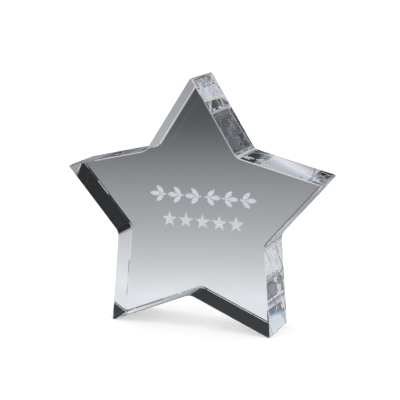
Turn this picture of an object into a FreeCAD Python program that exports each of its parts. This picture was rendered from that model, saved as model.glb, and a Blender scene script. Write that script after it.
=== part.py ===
import FreeCAD, Part
import os
import Sketcher
from FreeCAD import Placement, Rotation, Vector

# Star trophy: one ground and polished block of optical crystal that stands on its two lower tips.
# A row of laurel sprigs and a row of small stars are cut into its back face and filled flush.
# Frame: X to the right, +Y away from the front face, +Z up, the origin under the middle of the
# block at the height of its feet.

doc = FreeCAD.newDocument("star_trophy")
sheet = doc.addObject("Spreadsheet::Sheet", "dims")

DIMENSIONS = {
    # outline of the right half of the star, from the middle line and the feet
    "top_tip_z": 84.5,
    "shoulder_x": 15.9,
    "shoulder_z": 59.2,
    "arm_tip_x": 44.45,
    "arm_tip_z": 52.3,
    "waist_x": 25.85,
    "waist_z": 30.7,
    "foot_x": 28.25,
    "foot_flat": 0.8,
    "crotch_z": 11.6,
    # the block
    "thickness": 19.0,
    "inner_corner_radius": 4.2,
    "tip_radius": 0.5,
    "edge_chamfer": 0.3,
    # the engraved rows
    "mark_depth": 0.6,
    "upper_row_z": 42.7,
    "lower_row_z": 34.1,
    "sprig_start": 0.6,
    "sprig_pitch": 6.3,
    "stem_length": 3.0,
    "stem_width": 0.6,
    "leaf_length": 3.8,
    "leaf_width": 1.7,
    "side_leaf_base": 0.9,
    "side_leaf_angle": 46,
    "spark_pitch": 6.0,
    "spark_radius": 2.9,
    "spark_inner_radius": 1.25,
}
SPRIGS_PER_SIDE = 3
SPARKS_PER_SIDE = 2
STAR_POINTS = 5

for row, (alias, value) in enumerate(DIMENSIONS.items(), start=1):
    sheet.set(f"A{row}", alias)
    sheet.set(f"B{row}", str(value))
    sheet.setAlias(f"B{row}", alias)
doc.recompute()


def origin_plane(body, role):
    """The body's own origin plane with this role."""
    return next(plane for plane in body.Origin.OriginFeatures if plane.Role == role)


def value_of(expression):
    """The number that an expression on the sheet gives."""
    return float(sheet.evalExpression(expression))


def closed_outline(body, name, corners):
    """A sketch on the body's XZ plane: straight sides through the corners.

    Each corner is a pair of expressions, its distance to the right of and above the origin."""
    sketch = body.newObject("Sketcher::SketchObject", name)
    sketch.AttachmentSupport = [(origin_plane(body, "XZ_Plane"), "")]
    sketch.MapMode = "FlatFace"
    points = [Vector(value_of(across), value_of(up), 0) for across, up in corners]
    for start, end in zip(points, points[1:] + points[:1]):
        sketch.addGeometry(Part.LineSegment(start, end), False)
    for side in range(len(points)):
        following = (side + 1) % len(points)
        sketch.addConstraint(Sketcher.Constraint("Coincident", side, 2, following, 1))
        places = (("DistanceX", points[side].x), ("DistanceY", points[side].y))
        for (kind, place), expression in zip(places, corners[side]):
            index = sketch.addConstraint(Sketcher.Constraint(kind, -1, 1, side, 1, place))
            sketch.setExpression(f"Constraints[{index}]", expression)
    return sketch


def pad(body, sketch, name, length, both_ways=False):
    """Pads the sketch by an expression, towards -Y or both ways from its plane."""
    feature = body.newObject("PartDesign::Pad", name)
    feature.Profile = sketch
    feature.setExpression("Length", length)
    feature.Midplane = both_ways
    sketch.Visibility = False
    body.Tip = feature
    return feature


def dress_edges(body, kind, name, base, edge_names, size_property, size):
    """Adds a Fillet or Chamfer on some edges of the base feature."""
    feature = body.newObject(f"PartDesign::{kind}", name)
    feature.Base = (base, edge_names)
    feature.setExpression(size_property, size)
    body.Tip = feature
    return feature


def close(first, second):
    """Whether two lengths are the same to a hundredth of a millimetre."""
    return abs(first - second) < 0.01


def edges_where(shape, wanted):
    """Names of the shape's edges whose two end points pass the test."""
    return [
        f"Edge{number}"
        for number, edge in enumerate(shape.Edges, start=1)
        if wanted(edge.Vertexes[0].Point, edge.Vertexes[-1].Point)
    ]


def make_block():
    """The star-shaped block, with rounded inner corners and tips and chamfered face edges."""
    half = [
        ("dims.shoulder_x", "dims.shoulder_z"),
        ("dims.arm_tip_x", "dims.arm_tip_z"),
        ("dims.waist_x", "dims.waist_z"),
        ("dims.foot_x", "0"),
        ("dims.foot_x - dims.foot_flat", "0"),
    ]
    mirrored = [(f"-({across})", up) for across, up in reversed(half)]
    corners = [("0", "dims.top_tip_z")] + half + [("0", "dims.crotch_z")] + mirrored

    body = doc.addObject("PartDesign::Body", "crystal_block")
    outline = closed_outline(body, "star_outline", corners)
    slab = pad(body, outline, "star_slab", "dims.thickness", both_ways=True)
    doc.recompute()

    inner = [
        (0, DIMENSIONS["crotch_z"]),
        (DIMENSIONS["shoulder_x"], DIMENSIONS["shoulder_z"]),
        (DIMENSIONS["waist_x"], DIMENSIONS["waist_z"]),
    ]

    tips = [
        (0, DIMENSIONS["top_tip_z"]),
        (DIMENSIONS["arm_tip_x"], DIMENSIONS["arm_tip_z"]),
    ]

    def running_back_at(corners):
        """A test for edges that run from front to back at one of the corners."""
        def at_a_corner(start, end):
            runs_back = close(start.x, end.x) and close(start.z, end.z)
            return runs_back and any(
                close(abs(start.x), across) and close(start.z, up) for across, up in corners
            )
        return at_a_corner

    rounded = dress_edges(
        body, "Fillet", "inner_corners", slab, edges_where(slab.Shape, running_back_at(inner)),
        "Radius", "dims.inner_corner_radius",
    )
    doc.recompute()
    rounded = dress_edges(
        body, "Fillet", "rounded_tips", rounded, edges_where(rounded.Shape, running_back_at(tips)),
        "Radius", "dims.tip_radius",
    )
    doc.recompute()

    face_y = DIMENSIONS["thickness"] / 2

    def on_a_face(start, end):
        return close(abs(start.y), face_y) and close(start.y, end.y)

    dress_edges(
        body, "Chamfer", "face_edges", rounded, edges_where(rounded.Shape, on_a_face),
        "Size", "dims.edge_chamfer",
    )
    doc.recompute()
    return body


def make_leaf(name, base_x, angle):
    """A pointed leaf where two round discs overlap, from its base outwards at an angle in degrees."""
    curve = "((dims.leaf_length ^ 2 + dims.leaf_width ^ 2) / (4 * dims.leaf_width))"
    discs = []
    for side in (-1, 1):
        disc = doc.addObject("Part::Cylinder", f"{name}_disc")
        disc.setExpression("Radius", curve)
        disc.setExpression("Height", "dims.mark_depth")
        disc.Placement = Placement(Vector(0, 0, 0), Rotation(Vector(1, 0, 0), 90))
        disc.setExpression("Placement.Base.x", "dims.leaf_length / 2")
        disc.setExpression("Placement.Base.z", f"{side} * ({curve} - dims.leaf_width / 2)")
        discs.append(disc)
    leaf = doc.addObject("Part::Common", name)
    leaf.Base, leaf.Tool = discs
    leaf.setExpression("Placement.Base.x", base_x)
    leaf.Placement = Placement(Vector(0, 0, 0), Rotation(Vector(0, 1, 0), value_of(angle)))
    leaf.setExpression("Placement.Rotation.Angle", angle)
    return leaf


def make_sprig(name, direction, place):
    """A sprig of three leaves on a short stem, pointing along +X (1) or -X (-1)."""
    stem = doc.addObject("Part::Box", f"{name}_stem")
    stem.setExpression("Length", "dims.stem_length")
    stem.setExpression("Width", "dims.mark_depth")
    stem.setExpression("Height", "dims.stem_width")
    stem.setExpression("Placement.Base.y", "-dims.mark_depth")
    stem.setExpression("Placement.Base.z", "-dims.stem_width / 2")
    leaves = [
        make_leaf(f"{name}_end_leaf", "dims.stem_length - dims.side_leaf_base", "0"),
        make_leaf(f"{name}_upper_leaf", "dims.side_leaf_base", "-dims.side_leaf_angle"),
        make_leaf(f"{name}_lower_leaf", "dims.side_leaf_base", "dims.side_leaf_angle"),
    ]
    sprig = doc.addObject("Part::MultiFuse", name)
    sprig.Shapes = [stem] + leaves
    sprig.Refine = True
    if direction < 0:
        sprig.Placement = Placement(Vector(0, 0, 0), Rotation(Vector(0, 1, 0), 180))
    sprig.setExpression("Placement.Base.x", f"{direction} * (dims.sprig_start + {place} * dims.sprig_pitch)")
    sprig.setExpression("Placement.Base.y", "dims.thickness / 2")
    sprig.setExpression("Placement.Base.z", "dims.upper_row_z")
    return sprig


def make_spark(name, place):
    """A small five-pointed star, some pitches to the right of the middle."""
    corners = []
    for point in range(2 * STAR_POINTS):
        radius = "dims.spark_inner_radius" if point % 2 else "dims.spark_radius"
        angle = f"{point * 180 / STAR_POINTS} deg"
        corners.append((f"{radius} * sin({angle})", f"{radius} * cos({angle})"))
    body = doc.addObject("PartDesign::Body", name)
    outline = closed_outline(body, f"{name}_outline", corners)
    pad(body, outline, f"{name}_pad", "dims.mark_depth")
    body.setExpression("Placement.Base.x", f"{place} * dims.spark_pitch")
    body.setExpression("Placement.Base.y", "dims.thickness / 2")
    body.setExpression("Placement.Base.z", "dims.lower_row_z")
    return body


def make_marks():
    """The fills of the engraved marks: sprigs in the upper row, small stars in the lower one."""
    marks = []
    for side, direction in (("left", -1), ("right", 1)):
        for place in range(SPRIGS_PER_SIDE):
            marks.append(make_sprig(f"sprig_{side}_{place + 1}", direction, place))
    for place in range(-SPARKS_PER_SIDE, SPARKS_PER_SIDE + 1):
        marks.append(make_spark(f"small_star_{place + SPARKS_PER_SIDE + 1}", place))
    doc.recompute()
    return marks


def engrave(block, marks):
    """The block with a recess in its back face for each fill."""
    recesses = doc.addObject("Part::Compound", "recesses")
    recesses.Links = marks
    crystal = doc.addObject("Part::Cut", "crystal_star")
    crystal.Base = block
    crystal.Tool = recesses
    doc.recompute()
    return crystal


def check(nodes, block):
    """Stops if an object failed or the recesses didn't remove what the fills take up."""
    for item in doc.Objects:
        if {"Invalid", "Error"} & set(item.State):
            raise RuntimeError(f"{item.Name} failed: {item.State}")
    for node in nodes:
        if node.Shape.isNull() or not node.Shape.isValid() or len(node.Shape.Solids) != 1:
            raise RuntimeError(f"{node.Label} isn't one valid solid")
    removed = block.Shape.Volume - nodes[0].Shape.Volume
    filled = sum(mark.Shape.Volume for mark in nodes[1:])
    if abs(removed - filled) > 1e-3 * filled:
        raise RuntimeError(f"the recesses remove {removed:.3f} mm3, the fills take up {filled:.3f} mm3")


block = make_block()
marks = make_marks()
crystal = engrave(block, marks)
nodes = [crystal] + marks
check(nodes, block)

os.makedirs("parts", exist_ok=True)
for node in nodes:
    node.Label = node.Name
    node.Shape.exportStep(f"parts/{node.Label}.step")
    box = node.Shape.BoundBox
    print(f"{node.Label}: {node.Shape.Volume:.2f} mm3, X {box.XMin:.2f}..{box.XMax:.2f}, "
          f"Y {box.YMin:.2f}..{box.YMax:.2f}, Z {box.ZMin:.2f}..{box.ZMax:.2f}")
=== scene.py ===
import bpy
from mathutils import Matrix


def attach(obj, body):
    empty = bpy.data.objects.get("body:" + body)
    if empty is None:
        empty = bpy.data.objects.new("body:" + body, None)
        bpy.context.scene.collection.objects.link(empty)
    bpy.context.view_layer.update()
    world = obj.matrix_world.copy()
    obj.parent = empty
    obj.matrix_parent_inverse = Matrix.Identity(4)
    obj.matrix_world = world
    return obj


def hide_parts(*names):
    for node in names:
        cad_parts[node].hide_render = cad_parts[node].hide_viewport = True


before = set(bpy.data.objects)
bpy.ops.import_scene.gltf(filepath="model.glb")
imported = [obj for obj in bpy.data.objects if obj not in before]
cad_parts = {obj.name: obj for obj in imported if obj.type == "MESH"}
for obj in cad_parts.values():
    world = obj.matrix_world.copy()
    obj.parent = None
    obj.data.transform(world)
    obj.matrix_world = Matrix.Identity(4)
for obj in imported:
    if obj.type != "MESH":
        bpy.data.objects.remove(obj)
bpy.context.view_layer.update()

import math
from collections import namedtuple

import bmesh
import bpy
from mathutils import Matrix, Quaternion, Vector

MM = 0.001

# outline of the right half of the star in mm, (across, up) from the middle line and the feet
TOP_TIP = (0, 84.5)
SHOULDER = (15.9, 59.2)
ARM_TIP = (44.45, 52.3)
WAIST = (25.85, 30.7)
FOOT_OUTER = (28.25, 0)
FOOT_INNER = (27.45, 0)
CROTCH = (0, 11.6)
HALF_THICKNESS = 9.5
INNER_RADIUS = 4.2
TIP_RADIUS = 0.5
EDGE_CHAMFER = 0.3
ARC_STEPS = 72
TIP_STEPS = 12
# sides shorter than this belong to rounded corners
SHORT_SIDE = 0.2

# engraved marks in mm. They lie in the block, with a very thin cover of crystal behind them.
MARK_DEPTH = 0.6
MARK_COVER = 0.03
MARK_SLOPE = 0.22
UPPER_ROW_Z = 42.7
LOWER_ROW_Z = 34.1
SPRIG_START = 0.6
SPRIG_PITCH = 6.3
SPRIGS_PER_SIDE = 3
STEM_LENGTH = 3.0
STEM_WIDTH = 0.6
STEM_SLOPE = 0.6 * MARK_SLOPE
LEAF_LENGTH = 3.8
LEAF_WIDTH = 1.7
LEAF_STEPS = 24
SIDE_LEAF_BASE = 0.9
SIDE_LEAF_ANGLE = 46
SPARK_PITCH = 6.0
SPARK_RADIUS = 2.9
SPARK_INNER_RADIUS = 1.25
SPARKS_PER_SIDE = 2
STAR_POINTS = 5

# clear crystal, a little rougher where its polish is at its dullest
CRYSTAL_INDEX = 1.52
POLISH = 0.004
WIPE_SCALE = 40
WIPE_DETAIL = 3

# sandblasted recesses: a fine grain over wider clouds, and the ends of their colour and roughness
GRAIN_SCALE = 2500
GRAIN_DETAIL = 4
CLOUD_SCALE = 220
CLOUD_DETAIL = 2
FROST_GREY = (0.84, 0.87, 0.93, 1)
FROST_PALE = (0.89, 0.92, 0.98, 1)
FROST_SMOOTH = 0.6
FROST_ROUGH = 0.85

# the stretch that most of a noise pattern lies in
NOISE_LOW = 0.3
NOISE_HIGH = 0.7

# studio light that the crystal sees. Angles are in degrees: azimuth from +Y towards +X, low and high
# from the horizon up. The edges for red, green and blue lie apart by the fringe. A panel covers the
# ones before it, and the rest is at the level of ROOM.
WHITE_LEVEL = 1.2
ROOM = 0.4
HALF_TURN = 180
Panel = namedtuple("Panel", "name azimuth half_width side_soft low high soft level fringe")
PANELS = [
    Panel("overhead", 0, HALF_TURN, 0, 50, 95, 14, 0.72, 0),
    Panel("front_upper_room", 178, 40, 10, 22, 50, 6, 0.13, 0),
    Panel("black_backdrop", -8, 67, 8, -10, 50, 4, 0.012, 0),
    Panel("low_backdrop_left", -45, 29, 6, -10, 12, 6, 0.12, 0),
    Panel("low_backdrop_right", 46, 14, 6, -10, 15, 6, 0.25, 0),
    Panel("dark_camera_side", -158, 22, 6, -10, 17.3, 0.2, 0.03, 0),
    Panel("camera_gap", -153, 6.5, 2, -10, 14, 3, 0.06, 0),
    Panel("front_panel", -166.5, 5.5, 3, 18.7, 23, 2, 0.85, 0.4),
    Panel("front_panel_shade", -166.7, 1.0, 0.4, 20.1, 20.9, 0.15, 0.1, 0.035),
    Panel("front_gap", 158, 18, 6, -10, 17, 3, 0.1, 0),
    Panel("right_panel", 88, 28, 8, -10, 20, 4, 0.8, 0),
    Panel("right_gap", 96, 3, 1, 6, 18, 2, 0.2, 0),
    Panel("right_upper_gap", 128, 4, 2, 38, 52, 3, 0.03, 0),
    Panel("soft_glow", -10.4, 1.0, 1.6, 17.08, 17.3, 0.4, 1.2, 0.02),
]
COOL_TINT = (0.91, 1.0, 1.11)

# floor in metres
FLOOR_SIZE = 8
FLOOR_HEIGHT = -0.0001

# pool of light under the floor, in metres. It fades with distance, and to a low level in front.
POOL_SIZE = 1.5
POOL_HEIGHT = -0.0002
POOL_TOP = 0.79
POOL_LEVEL = 1.17
POOL_RADIUS = 0.087
POOL_TINT = (0.97, 1.0, 1.04)
FADE_NEAR = 0.2
FADE_FAR = 0.5
FADED_SHARE = 0.45
FRONT_NEAR = 0.02
FRONT_FAR = -0.2
FRONT_LEVEL = 0.2

# pale upright strips to the left of the star, in metres, which end at the top in a narrow fringe of colour
STRIP_DISTANCE = 0.3
STRIP_AZIMUTHS = {"behind": -24.4, "in_front": -155.6}
STRIP_HALF_WIDTH = 0.012
STRIP_LOW = 0.047
STRIP_HIGH = 0.063
STRIP_LEVEL = 0.75
STRIP_FRINGE = 0.0003
STRIP_SOFTNESS = 0.001

# camera, with its place in star radii from the middle of the front face. Lens and sensor are in mm.
FACE_CENTRE_Z = 37.76
STAR_RADIUS = TOP_TIP[1] - FACE_CENTRE_Z
CAMERA_PLACE = (3.486, -8.882, 2.163)
CAMERA_FORWARD = (-0.3506, 0.9131, -0.2081)
CAMERA_ROLL = 0.4
LENS = 125
SENSOR_WIDTH = 36
CLIP_START = 10 * MM

# light paths
MAX_BOUNCES = 40
CRYSTAL_BOUNCES = 32


def mirrored(point):
    """The point on the other side of the middle line."""
    return (-point[0], point[1])


def star_corners():
    """Corners of the outline, clockwise seen from the front, each with its rounding radius."""
    right = [
        (SHOULDER, INNER_RADIUS),
        (ARM_TIP, TIP_RADIUS),
        (WAIST, INNER_RADIUS),
        (FOOT_OUTER, 0),
        (FOOT_INNER, 0),
    ]
    left = [(mirrored(point), radius) for point, radius in reversed(right)]
    return [(TOP_TIP, TIP_RADIUS)] + right + [(CROTCH, INNER_RADIUS)] + left


def inset_corners(corners, distance):
    """The corners moved so that every side lies further inside by the distance."""
    moved = []
    for index, (point, radius) in enumerate(corners):
        before = Vector(corners[index - 1][0])
        here = Vector(point)
        after = Vector(corners[(index + 1) % len(corners)][0])
        first = (here - before).normalized()
        second = (after - here).normalized()
        inward_first = Vector((first.y, -first.x))
        inward_second = Vector((second.y, -second.x))
        bisector = (inward_first + inward_second) / (1 + inward_first.dot(inward_second))
        turn = first.x * second.y - first.y * second.x
        grown = radius + distance if turn > 0 else max(radius - distance, 0)
        moved.append((tuple(here + bisector * distance), grown if radius else 0))
    return moved


def rounded_outline(corners, inset):
    """Points of the outline, moved in by the inset, with its corners rounded."""
    corners = inset_corners(corners, inset)
    points = []
    for index, (point, radius) in enumerate(corners):
        here = Vector(point)
        if not radius:
            points.append(here)
            continue
        back = (Vector(corners[index - 1][0]) - here).normalized()
        ahead = (Vector(corners[(index + 1) % len(corners)][0]) - here).normalized()
        half_angle = back.angle(ahead) / 2
        centre = here + (back + ahead).normalized() * (radius / math.sin(half_angle))
        start = here + back * (radius / math.tan(half_angle)) - centre
        sweep = start.angle_signed(here + ahead * (radius / math.tan(half_angle)) - centre)
        steps = TIP_STEPS if radius <= TIP_RADIUS else ARC_STEPS
        for step in range(steps + 1):
            angle = -sweep * step / steps
            points.append(centre + Matrix.Rotation(angle, 2) @ start)
    return points


def lofted(rings):
    """A closed mesh through rings of (depth in mm, points), capped at both ends.

    Only its rounded corners are shaded smooth."""
    mesh = bmesh.new()
    loops = []
    for depth, points in rings:
        loops.append([mesh.verts.new((p.x * MM, depth * MM, p.y * MM)) for p in points])
    for near, far in zip(loops, loops[1:]):
        for index in range(len(near)):
            following = (index + 1) % len(near)
            side = mesh.faces.new((near[index], far[index], far[following], near[following]))
            side.smooth = (near[index].co - near[following].co).length < SHORT_SIDE * MM
    mesh.faces.new(loops[0])
    mesh.faces.new(list(reversed(loops[-1])))
    for loop in loops:
        for first, second in zip(loop, loop[1:] + loop[:1]):
            mesh.edges.get((first, second)).smooth = False
    bmesh.ops.recalc_face_normals(mesh, faces=mesh.faces)
    return mesh


def linked(name, data):
    """An object in the scene that holds the data."""
    item = bpy.data.objects.new(name, data)
    bpy.context.collection.objects.link(item)
    return item


def placed(name, mesh):
    """An object in the scene with the mesh."""
    data = bpy.data.meshes.new(name)
    mesh.to_mesh(data)
    mesh.free()
    return linked(name, data)


def make_crystal():
    """The star-shaped block, with a narrow chamfer round both faces."""
    corners = star_corners()
    rings = [
        (-HALF_THICKNESS, rounded_outline(corners, EDGE_CHAMFER)),
        (-HALF_THICKNESS + EDGE_CHAMFER, rounded_outline(corners, 0)),
        (HALF_THICKNESS - EDGE_CHAMFER, rounded_outline(corners, 0)),
        (HALF_THICKNESS, rounded_outline(corners, EDGE_CHAMFER)),
    ]
    return placed("crystal_body", lofted(rings))


def leaf_outline(width, length, base, angle):
    """A pointed leaf between two arcs, from its base outwards at an angle."""
    radius = (length ** 2 + width ** 2) / (4 * width)
    half_sweep = math.asin(length / (2 * radius))
    points = []
    for side in (1, -1):
        for step in range(LEAF_STEPS):
            turn = -half_sweep + 2 * half_sweep * step / LEAF_STEPS
            across = length / 2 + side * radius * math.sin(turn)
            up = side * (radius * math.cos(turn) - radius + width / 2)
            points.append(Vector((across, up)))
    spin = Matrix.Rotation(math.radians(angle), 2)
    return [spin @ point + Vector((base, 0)) for point in points]


def leaf_rings(base, angle):
    """Rings of a leaf-shaped recess that narrows from the back face inwards."""
    floor_width = LEAF_WIDTH - 2 * MARK_SLOPE
    floor_length = LEAF_LENGTH - 2 * MARK_SLOPE * LEAF_LENGTH / LEAF_WIDTH
    shift = Matrix.Rotation(math.radians(angle), 2) @ Vector(((LEAF_LENGTH - floor_length) / 2, 0))
    floor = [point + shift for point in leaf_outline(floor_width, floor_length, base, angle)]
    return [
        (HALF_THICKNESS - MARK_DEPTH, floor),
        (HALF_THICKNESS - MARK_COVER, leaf_outline(LEAF_WIDTH, LEAF_LENGTH, base, angle)),
    ]


def stem_rings():
    """Rings of the stem's recess."""
    rings = []
    for depth, inset in ((HALF_THICKNESS - MARK_DEPTH, STEM_SLOPE), (HALF_THICKNESS - MARK_COVER, 0)):
        half = STEM_WIDTH / 2 - inset
        corners = [(inset, -half), (STEM_LENGTH, -half), (STEM_LENGTH, half), (inset, half)]
        rings.append((depth, [Vector(corner) for corner in corners]))
    return rings


def make_sprig(name, direction, place):
    """A sprig of three leaves on a short stem, pointing along +X (1) or -X (-1)."""
    parts = [
        stem_rings(),
        leaf_rings(STEM_LENGTH - SIDE_LEAF_BASE, 0),
        leaf_rings(SIDE_LEAF_BASE, SIDE_LEAF_ANGLE),
        leaf_rings(SIDE_LEAF_BASE, -SIDE_LEAF_ANGLE),
    ]
    offset = Vector((direction * (SPRIG_START + place * SPRIG_PITCH), UPPER_ROW_Z))
    pieces = []
    for index, rings in enumerate(parts):
        moved = []
        for depth, points in rings:
            moved.append((depth, [Vector((direction * p.x, p.y)) + offset for p in points]))
        pieces.append(placed(f"{name}_part_{index}", lofted(moved)))
    return joined(name, pieces)


def joined(name, pieces):
    """One object with the union of the pieces, which it takes the place of."""
    first = pieces[0]
    for other in pieces[1:]:
        union = first.modifiers.new("union", "BOOLEAN")
        union.operation = "UNION"
        union.solver = "EXACT"
        union.object = other
    graph = bpy.context.evaluated_depsgraph_get()
    data = bpy.data.meshes.new_from_object(first.evaluated_get(graph))
    data.name = name
    item = linked(name, data)
    for piece in pieces:
        bpy.data.objects.remove(piece)
    return item


def make_spark(name, place):
    """A small five-pointed star, some pitches to the right of the middle."""
    corners = []
    for point in range(2 * STAR_POINTS):
        radius = SPARK_INNER_RADIUS if point % 2 else SPARK_RADIUS
        angle = point * math.pi / STAR_POINTS
        across = radius * math.sin(angle) + place * SPARK_PITCH
        corners.append(((across, radius * math.cos(angle) + LOWER_ROW_Z), 0))
    rings = [
        (HALF_THICKNESS - MARK_DEPTH, rounded_outline(corners, MARK_SLOPE)),
        (HALF_THICKNESS - MARK_COVER, rounded_outline(corners, 0)),
    ]
    return placed(name, lofted(rings))


def make_marks():
    """Each engraved mark with the name of its CAD body."""
    marks = []
    for side, direction in (("left", -1), ("right", 1)):
        for place in range(SPRIGS_PER_SIDE):
            node = f"sprig_{side}_{place + 1}"
            marks.append((node, make_sprig(f"engraved_{node}", direction, place)))
    for place in range(-SPARKS_PER_SIDE, SPARKS_PER_SIDE + 1):
        node = f"small_star_{place + SPARKS_PER_SIDE + 1}"
        marks.append((node, make_spark(f"engraved_{node}", place)))
    return marks


def new_material(name):
    """A material and its Principled shader."""
    material = bpy.data.materials.new(name)
    material.use_nodes = True
    return material, material.node_tree.nodes["Principled BSDF"]


def glowing_material(name):
    """A material that only glows, and its Emission shader."""
    material = bpy.data.materials.new(name)
    material.use_nodes = True
    tree = material.node_tree
    tree.nodes.clear()
    output = tree.nodes.new("ShaderNodeOutputMaterial")
    emission = tree.nodes.new("ShaderNodeEmission")
    tree.links.new(emission.outputs["Emission"], output.inputs["Surface"])
    material.cycles.emission_sampling = "NONE"
    return material, emission


def usable(sockets, name):
    """The enabled socket with this name."""
    return next(socket for socket in sockets if socket.name == name and socket.enabled)


def feed(tree, source, target):
    """Links a socket to the target, or sets the target to a constant."""
    if isinstance(source, bpy.types.NodeSocket):
        tree.links.new(source, target)
    else:
        target.default_value = source


def value_node(tree, operation, *sources):
    """A Math node on sockets or numbers."""
    node = tree.nodes.new("ShaderNodeMath")
    node.operation = operation
    for source, target in zip(sources, node.inputs):
        feed(tree, source, target)
    return node.outputs[0]


def vector_node(tree, operation, *sources):
    """A Vector Math node on sockets or triples."""
    node = tree.nodes.new("ShaderNodeVectorMath")
    node.operation = operation
    for source, target in zip(sources, node.inputs):
        feed(tree, source, target)
    return node.outputs["Value" if operation in ("DOT_PRODUCT", "LENGTH") else "Vector"]


def mixed(tree, kind, factor, first, second, label=""):
    """A Mix node, from the first source at factor 0 to the second at factor 1."""
    node = tree.nodes.new("ShaderNodeMix")
    node.data_type = kind
    node.label = label
    if kind == "VECTOR":
        node.factor_mode = "NON_UNIFORM"
    for name, source in (("Factor", factor), ("A", first), ("B", second)):
        feed(tree, source, usable(node.inputs, name))
    return usable(node.outputs, "Result")


def stretched(tree, source, start, end, low, high, interpolation):
    """The source's stretch from start to end, laid out from low to high."""
    node = tree.nodes.new("ShaderNodeMapRange")
    node.interpolation_type = interpolation
    names = ("Value", "From Min", "From Max", "To Min", "To Max")
    for name, value in zip(names, (source, start, end, low, high)):
        feed(tree, value, node.inputs[name])
    return usable(node.outputs, "Result")


def smooth_steps(tree, source, starts, ends):
    """A vector of three smooth steps of one socket, from 0 at the starts to 1 at the ends."""
    node = tree.nodes.new("ShaderNodeMapRange")
    node.data_type = "FLOAT_VECTOR"
    node.interpolation_type = "SMOOTHSTEP"
    for name, value in (("Vector", source), ("From Min", starts), ("From Max", ends)):
        feed(tree, value, usable(node.inputs, name))
    return usable(node.outputs, "Vector")


def object_place(tree):
    """The position in the object's own frame."""
    return tree.nodes.new("ShaderNodeTexCoord").outputs["Object"]


def components(tree, vector):
    """The X, Y and Z sockets of a vector."""
    split = tree.nodes.new("ShaderNodeSeparateXYZ")
    tree.links.new(vector, split.inputs["Vector"])
    return split.outputs


def noise(tree, scale, detail):
    """The value of a noise pattern fixed to the object."""
    pattern = tree.nodes.new("ShaderNodeTexNoise")
    tree.links.new(object_place(tree), pattern.inputs["Vector"])
    pattern.inputs["Scale"].default_value = scale
    pattern.inputs["Detail"].default_value = detail
    return usable(pattern.outputs, "Fac")


def vary(tree, pattern, target, low, high):
    """Drives a socket by the noise pattern, between two values."""
    tree.links.new(stretched(tree, pattern, NOISE_LOW, NOISE_HIGH, low, high, "LINEAR"), target)


def crystal_material():
    """Clear optical crystal, polished a little less well in places."""
    material, shader = new_material("optical_crystal")
    tree = material.node_tree
    wipes = noise(tree, WIPE_SCALE, WIPE_DETAIL)
    vary(tree, wipes, shader.inputs["Roughness"], 0, POLISH)
    shader.inputs["Base Color"].default_value = (1, 1, 1, 1)
    shader.inputs["Transmission Weight"].default_value = 1
    shader.inputs["IOR"].default_value = CRYSTAL_INDEX
    return material


def frosted_material():
    """Sandblasted crystal: pale, dull and finely speckled."""
    material, shader = new_material("frosted_recess")
    tree = material.node_tree
    grain = noise(tree, GRAIN_SCALE, GRAIN_DETAIL)
    clouds = noise(tree, CLOUD_SCALE, CLOUD_DETAIL)
    tone = value_node(tree, "MULTIPLY", value_node(tree, "ADD", grain, clouds), 0.5)
    ramp = tree.nodes.new("ShaderNodeValToRGB")
    stops = ((NOISE_LOW, FROST_GREY), (NOISE_HIGH, FROST_PALE))
    for stop, (position, colour) in zip(ramp.color_ramp.elements, stops):
        stop.position = position
        stop.color = colour
    tree.links.new(tone, ramp.inputs["Fac"])
    tree.links.new(ramp.outputs["Color"], shader.inputs["Base Color"])
    vary(tree, grain, shader.inputs["Roughness"], FROST_SMOOTH, FROST_ROUGH)
    return material


def floor_material():
    """Plain white with no gloss."""
    material, shader = new_material("pale_floor")
    shader.inputs["Base Color"].default_value = (1, 1, 1, 1)
    shader.inputs["Roughness"].default_value = 1
    shader.inputs["Specular IOR Level"].default_value = 0
    return material


def pool_material():
    """A pool of light round the middle, and plain white for light that a dull surface scatters."""
    material, emission = glowing_material("pool_of_light")
    tree = material.node_tree
    place = object_place(tree)
    distance = vector_node(tree, "LENGTH", place)
    falling = value_node(tree, "ADD", value_node(tree, "DIVIDE", distance, POOL_RADIUS), 1)
    pool = value_node(tree, "MINIMUM", value_node(tree, "DIVIDE", POOL_LEVEL, falling), POOL_TOP)
    fade = stretched(tree, distance, FADE_NEAR, FADE_FAR, 1, FADED_SHARE, "SMOOTHSTEP")
    pool = value_node(tree, "MULTIPLY", pool, fade)
    front = stretched(tree, components(tree, place)["Y"], FRONT_NEAR, FRONT_FAR, 0, 1, "SMOOTHSTEP")
    pool = mixed(tree, "FLOAT", front, pool, FRONT_LEVEL)
    path = tree.nodes.new("ShaderNodeLightPath")
    scattered = value_node(tree, "MINIMUM", path.outputs["Diffuse Depth"], 1)
    level = mixed(tree, "FLOAT", scattered, pool, WHITE_LEVEL)
    tree.links.new(level, emission.inputs["Strength"])
    emission.inputs["Color"].default_value = (*POOL_TINT, 1)
    return material


def strip_material():
    """A cool glow that ends at the top in a narrow fringe of colour."""
    material, emission = glowing_material("pale_strip")
    tree = material.node_tree
    tops = [STRIP_HIGH + STRIP_FRINGE, STRIP_HIGH, STRIP_HIGH - STRIP_FRINGE]
    ends = [top + STRIP_SOFTNESS for top in tops]
    fade = smooth_steps(tree, components(tree, object_place(tree))["Z"], ends, tops)
    tree.links.new(vector_node(tree, "MULTIPLY", fade, COOL_TINT), emission.inputs["Color"])
    emission.inputs["Strength"].default_value = STRIP_LEVEL
    return material


def fringed(angle, fringe):
    """An angle in degrees as three in radians, for red, green and blue."""
    return [math.radians(angle + shift) for shift in (-fringe, 0, fringe)]


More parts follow.
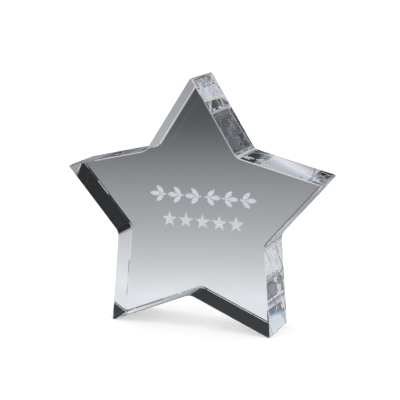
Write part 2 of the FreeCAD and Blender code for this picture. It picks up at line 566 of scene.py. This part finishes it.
def panel_mask(tree, flat_direction, elevation, panel):
    """How much of each colour a panel covers in a direction."""
    lower = smooth_steps(
        tree, elevation,
        fringed(panel.low - panel.soft / 2, panel.fringe),
        fringed(panel.low + panel.soft / 2, panel.fringe),
    )
    upper = smooth_steps(
        tree, elevation,
        fringed(panel.high + panel.soft / 2, panel.fringe),
        fringed(panel.high - panel.soft / 2, panel.fringe),
    )
    mask = vector_node(tree, "MULTIPLY", lower, upper)
    if panel.half_width < HALF_TURN:
        azimuth = math.radians(panel.azimuth)
        middle = (math.sin(azimuth), math.cos(azimuth), 0)
        outer = fringed(panel.half_width + panel.side_soft / 2, panel.fringe)
        inner = fringed(panel.half_width - panel.side_soft / 2, panel.fringe)
        sides = smooth_steps(
            tree, vector_node(tree, "DOT_PRODUCT", flat_direction, middle),
            [math.cos(angle) for angle in outer],
            [math.cos(angle) for angle in inner],
        )
        mask = vector_node(tree, "MULTIPLY", mask, sides)
    return mask


def panel_light(tree):
    """The colour of the studio by direction."""
    direction = tree.nodes.new("ShaderNodeTexCoord").outputs["Generated"]
    flat = vector_node(tree, "NORMALIZE", vector_node(tree, "MULTIPLY", direction, (1, 1, 0)))
    elevation = value_node(tree, "ARCSINE", components(tree, direction)["Z"])
    light = [ROOM * part for part in COOL_TINT]
    for panel in PANELS:
        mask = panel_mask(tree, flat, elevation, panel)
        light = mixed(tree, "VECTOR", mask, light, [panel.level * part for part in COOL_TINT], panel.name)
    return light


def make_world():
    """White for the camera and for light that a dull surface scatters, the panels for the crystal."""
    world = bpy.data.worlds.new("studio")
    world.use_nodes = True
    tree = world.node_tree
    path = tree.nodes.new("ShaderNodeLightPath").outputs
    plain = value_node(tree, "MAXIMUM", path["Is Camera Ray"], path["Diffuse Depth"])
    plain = value_node(tree, "MINIMUM", plain, 1)
    white = (WHITE_LEVEL, WHITE_LEVEL, WHITE_LEVEL, 1)
    light = mixed(tree, "RGBA", plain, panel_light(tree), white)
    tree.links.new(light, tree.nodes["Background"].inputs["Color"])
    world.cycles.sampling_method = "NONE"
    bpy.context.scene.world = world


def card(name, corners, material):
    """A flat card with four corners, part of the studio."""
    data = bpy.data.meshes.new(name)
    data.from_pydata(corners, [], [(0, 1, 2, 3)])
    item = linked(name, data)
    item.data.materials.append(material)
    return item


def level_card(name, size, height, material):
    """A level square card."""
    half = size / 2
    corners = [(x * half, y * half, height) for x, y in ((-1, -1), (1, -1), (1, 1), (-1, 1))]
    return card(name, corners, material)


def only_for_crystal(item):
    """Hides a card from the camera and from dull surfaces."""
    item.visible_camera = False
    item.visible_diffuse = False
    item.visible_shadow = False


def make_floor():
    """The pale floor, which the crystal doesn't see."""
    floor = level_card("floor", FLOOR_SIZE, FLOOR_HEIGHT, floor_material())
    floor.visible_glossy = False
    floor.visible_transmission = False


def make_pool():
    """A glowing card under the floor, brightest round the star, that only the crystal sees."""
    only_for_crystal(level_card("pool_of_light", POOL_SIZE, POOL_HEIGHT, pool_material()))


def make_strips():
    """Two upright strips, behind the star and in front of it, that only the crystal sees."""
    material = strip_material()
    top = STRIP_HIGH + STRIP_FRINGE + STRIP_SOFTNESS
    for place, azimuth in STRIP_AZIMUTHS.items():
        aim = Matrix.Rotation(math.radians(-azimuth), 3, "Z")
        corners = []
        for across, up in ((-1, STRIP_LOW), (1, STRIP_LOW), (1, top), (-1, top)):
            corners.append(aim @ Vector((across * STRIP_HALF_WIDTH, STRIP_DISTANCE, up)))
        only_for_crystal(card(f"pale_strip_{place}", corners, material))


def make_camera():
    """The camera, in front of the star, above it and to one side."""
    data = bpy.data.cameras.new("camera")
    data.lens = LENS
    data.sensor_width = SENSOR_WIDTH
    data.clip_start = CLIP_START
    camera = linked("camera", data)
    face_middle = (0, -HALF_THICKNESS, FACE_CENTRE_Z)
    camera.location = [(m + STAR_RADIUS * p) * MM for m, p in zip(face_middle, CAMERA_PLACE)]
    roll = Quaternion((0, 0, 1), math.radians(CAMERA_ROLL))
    camera.rotation_mode = "QUATERNION"
    camera.rotation_quaternion = Vector(CAMERA_FORWARD).to_track_quat("-Z", "Y") @ roll
    bpy.context.scene.camera = camera


def light_paths():
    """Enough bounces for the reflections inside the crystal, and colours shown as they are."""
    scene = bpy.context.scene
    scene.view_settings.view_transform = "Standard"
    scene.cycles.max_bounces = MAX_BOUNCES
    scene.cycles.glossy_bounces = CRYSTAL_BOUNCES
    scene.cycles.transmission_bounces = CRYSTAL_BOUNCES


crystal = make_crystal()
crystal.data.materials.append(crystal_material())
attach(crystal, "root")
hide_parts("crystal_star")

frosted = frosted_material()
for node, mark in make_marks():
    mark.data.materials.append(frosted)
    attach(mark, "root")
    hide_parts(node)

make_floor()
make_pool()
make_strips()
make_world()
make_camera()
light_paths()
